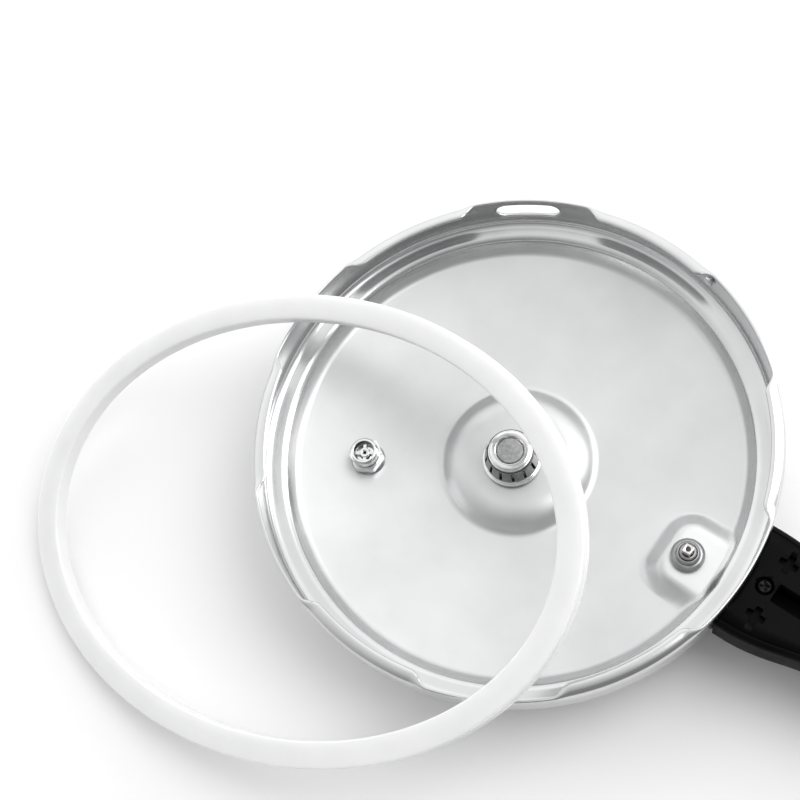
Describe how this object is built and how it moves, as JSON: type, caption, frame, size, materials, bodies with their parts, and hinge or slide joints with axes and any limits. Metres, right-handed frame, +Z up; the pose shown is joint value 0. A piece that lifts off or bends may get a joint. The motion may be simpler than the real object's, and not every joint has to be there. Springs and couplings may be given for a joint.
{
  "type": "pressure cooker lid with sealing ring",
  "caption": "Round stainless pressure cooker lid lying underside up, with its valves, black handle and a loose white sealing ring leaning on the rim.",
  "frame": {"origin": "on the lid's axis, on the flat end of the regulator cap, at the surface that the lid lies on", "axes": "+Z up, out of the lid's underside; +X from the lid's axis along its handle; +Y to the side, by the right-hand rule"},
  "size_m": [0.5041, 0.3226, 0.0931],
  "materials": {
    "brushed_steel": "satin",
    "polished_steel": "polished",
    "grey_steel": "matte grey",
    "phenolic": "matte moulded phenolic",
    "silicone": "translucent white silicone",
    "rubber": "matte"
  },
  "bodies": {
    "lid": {"lid_shell": "brushed_steel", "stop_rivet": "polished_steel", "vent_pipe": "polished_steel", "vent_washer": "rubber", "vent_nut": "polished_steel", "anti_clog_cage": "polished_steel", "strainer_disc": "grey_steel", "safety_valve_body": "polished_steel", "safety_valve_nut": "polished_steel", "safety_valve_inlet": "polished_steel", "safety_valve_spring": "grey_steel", "safety_valve_cap": "polished_steel", "indicator_seal": "rubber", "indicator_bush": "grey_steel", "indicator_nut": "grey_steel", "handle_base": "phenolic", "handle_cover": "phenolic", "handle_bracket": "brushed_steel", "handle_screw_front": "grey_steel", "handle_screw_rear": "grey_steel", "lock_spring": "grey_steel"},
    "ring": {"sealing_ring": "silicone"},
    "regulator": {"regulator_cap": "phenolic", "regulator_weight": "polished_steel", "regulator_needle": "polished_steel"},
    "indicator": {"indicator_pin": "polished_steel"},
    "safety_plunger": {"safety_valve_plunger": "rubber"},
    "lock": {"lock_bar": "brushed_steel", "lock_button": "phenolic"}
  },
  "joints": [
    {"name": "ring_lift", "type": "slide", "parent": "lid", "child": "ring", "axis": [0, 0, 1], "range_m": [0, 0.15]},
    {"name": "regulator_pull", "type": "slide", "parent": "lid", "child": "regulator", "axis": [0, 0, -1], "range_m": [0, 0.03]},
    {"name": "indicator_drop", "type": "slide", "parent": "lid", "child": "indicator", "axis": [0, 0, 1], "range_m": [0, 0.004]},
    {"name": "safety_lift", "type": "slide", "parent": "lid", "child": "safety_plunger", "axis": [0, 0, -1], "range_m": [0, 0.0025], "stiffness_N_per_m": 300, "springref_m": -0.003, "deforming": ["safety_valve_spring"]},
    {"name": "lock_slide", "type": "slide", "parent": "lid", "child": "lock", "axis": [1, 0, 0], "range_m": [0, 0.006], "stiffness_N_per_m": 200, "springref_m": -0.005}
  ]
}
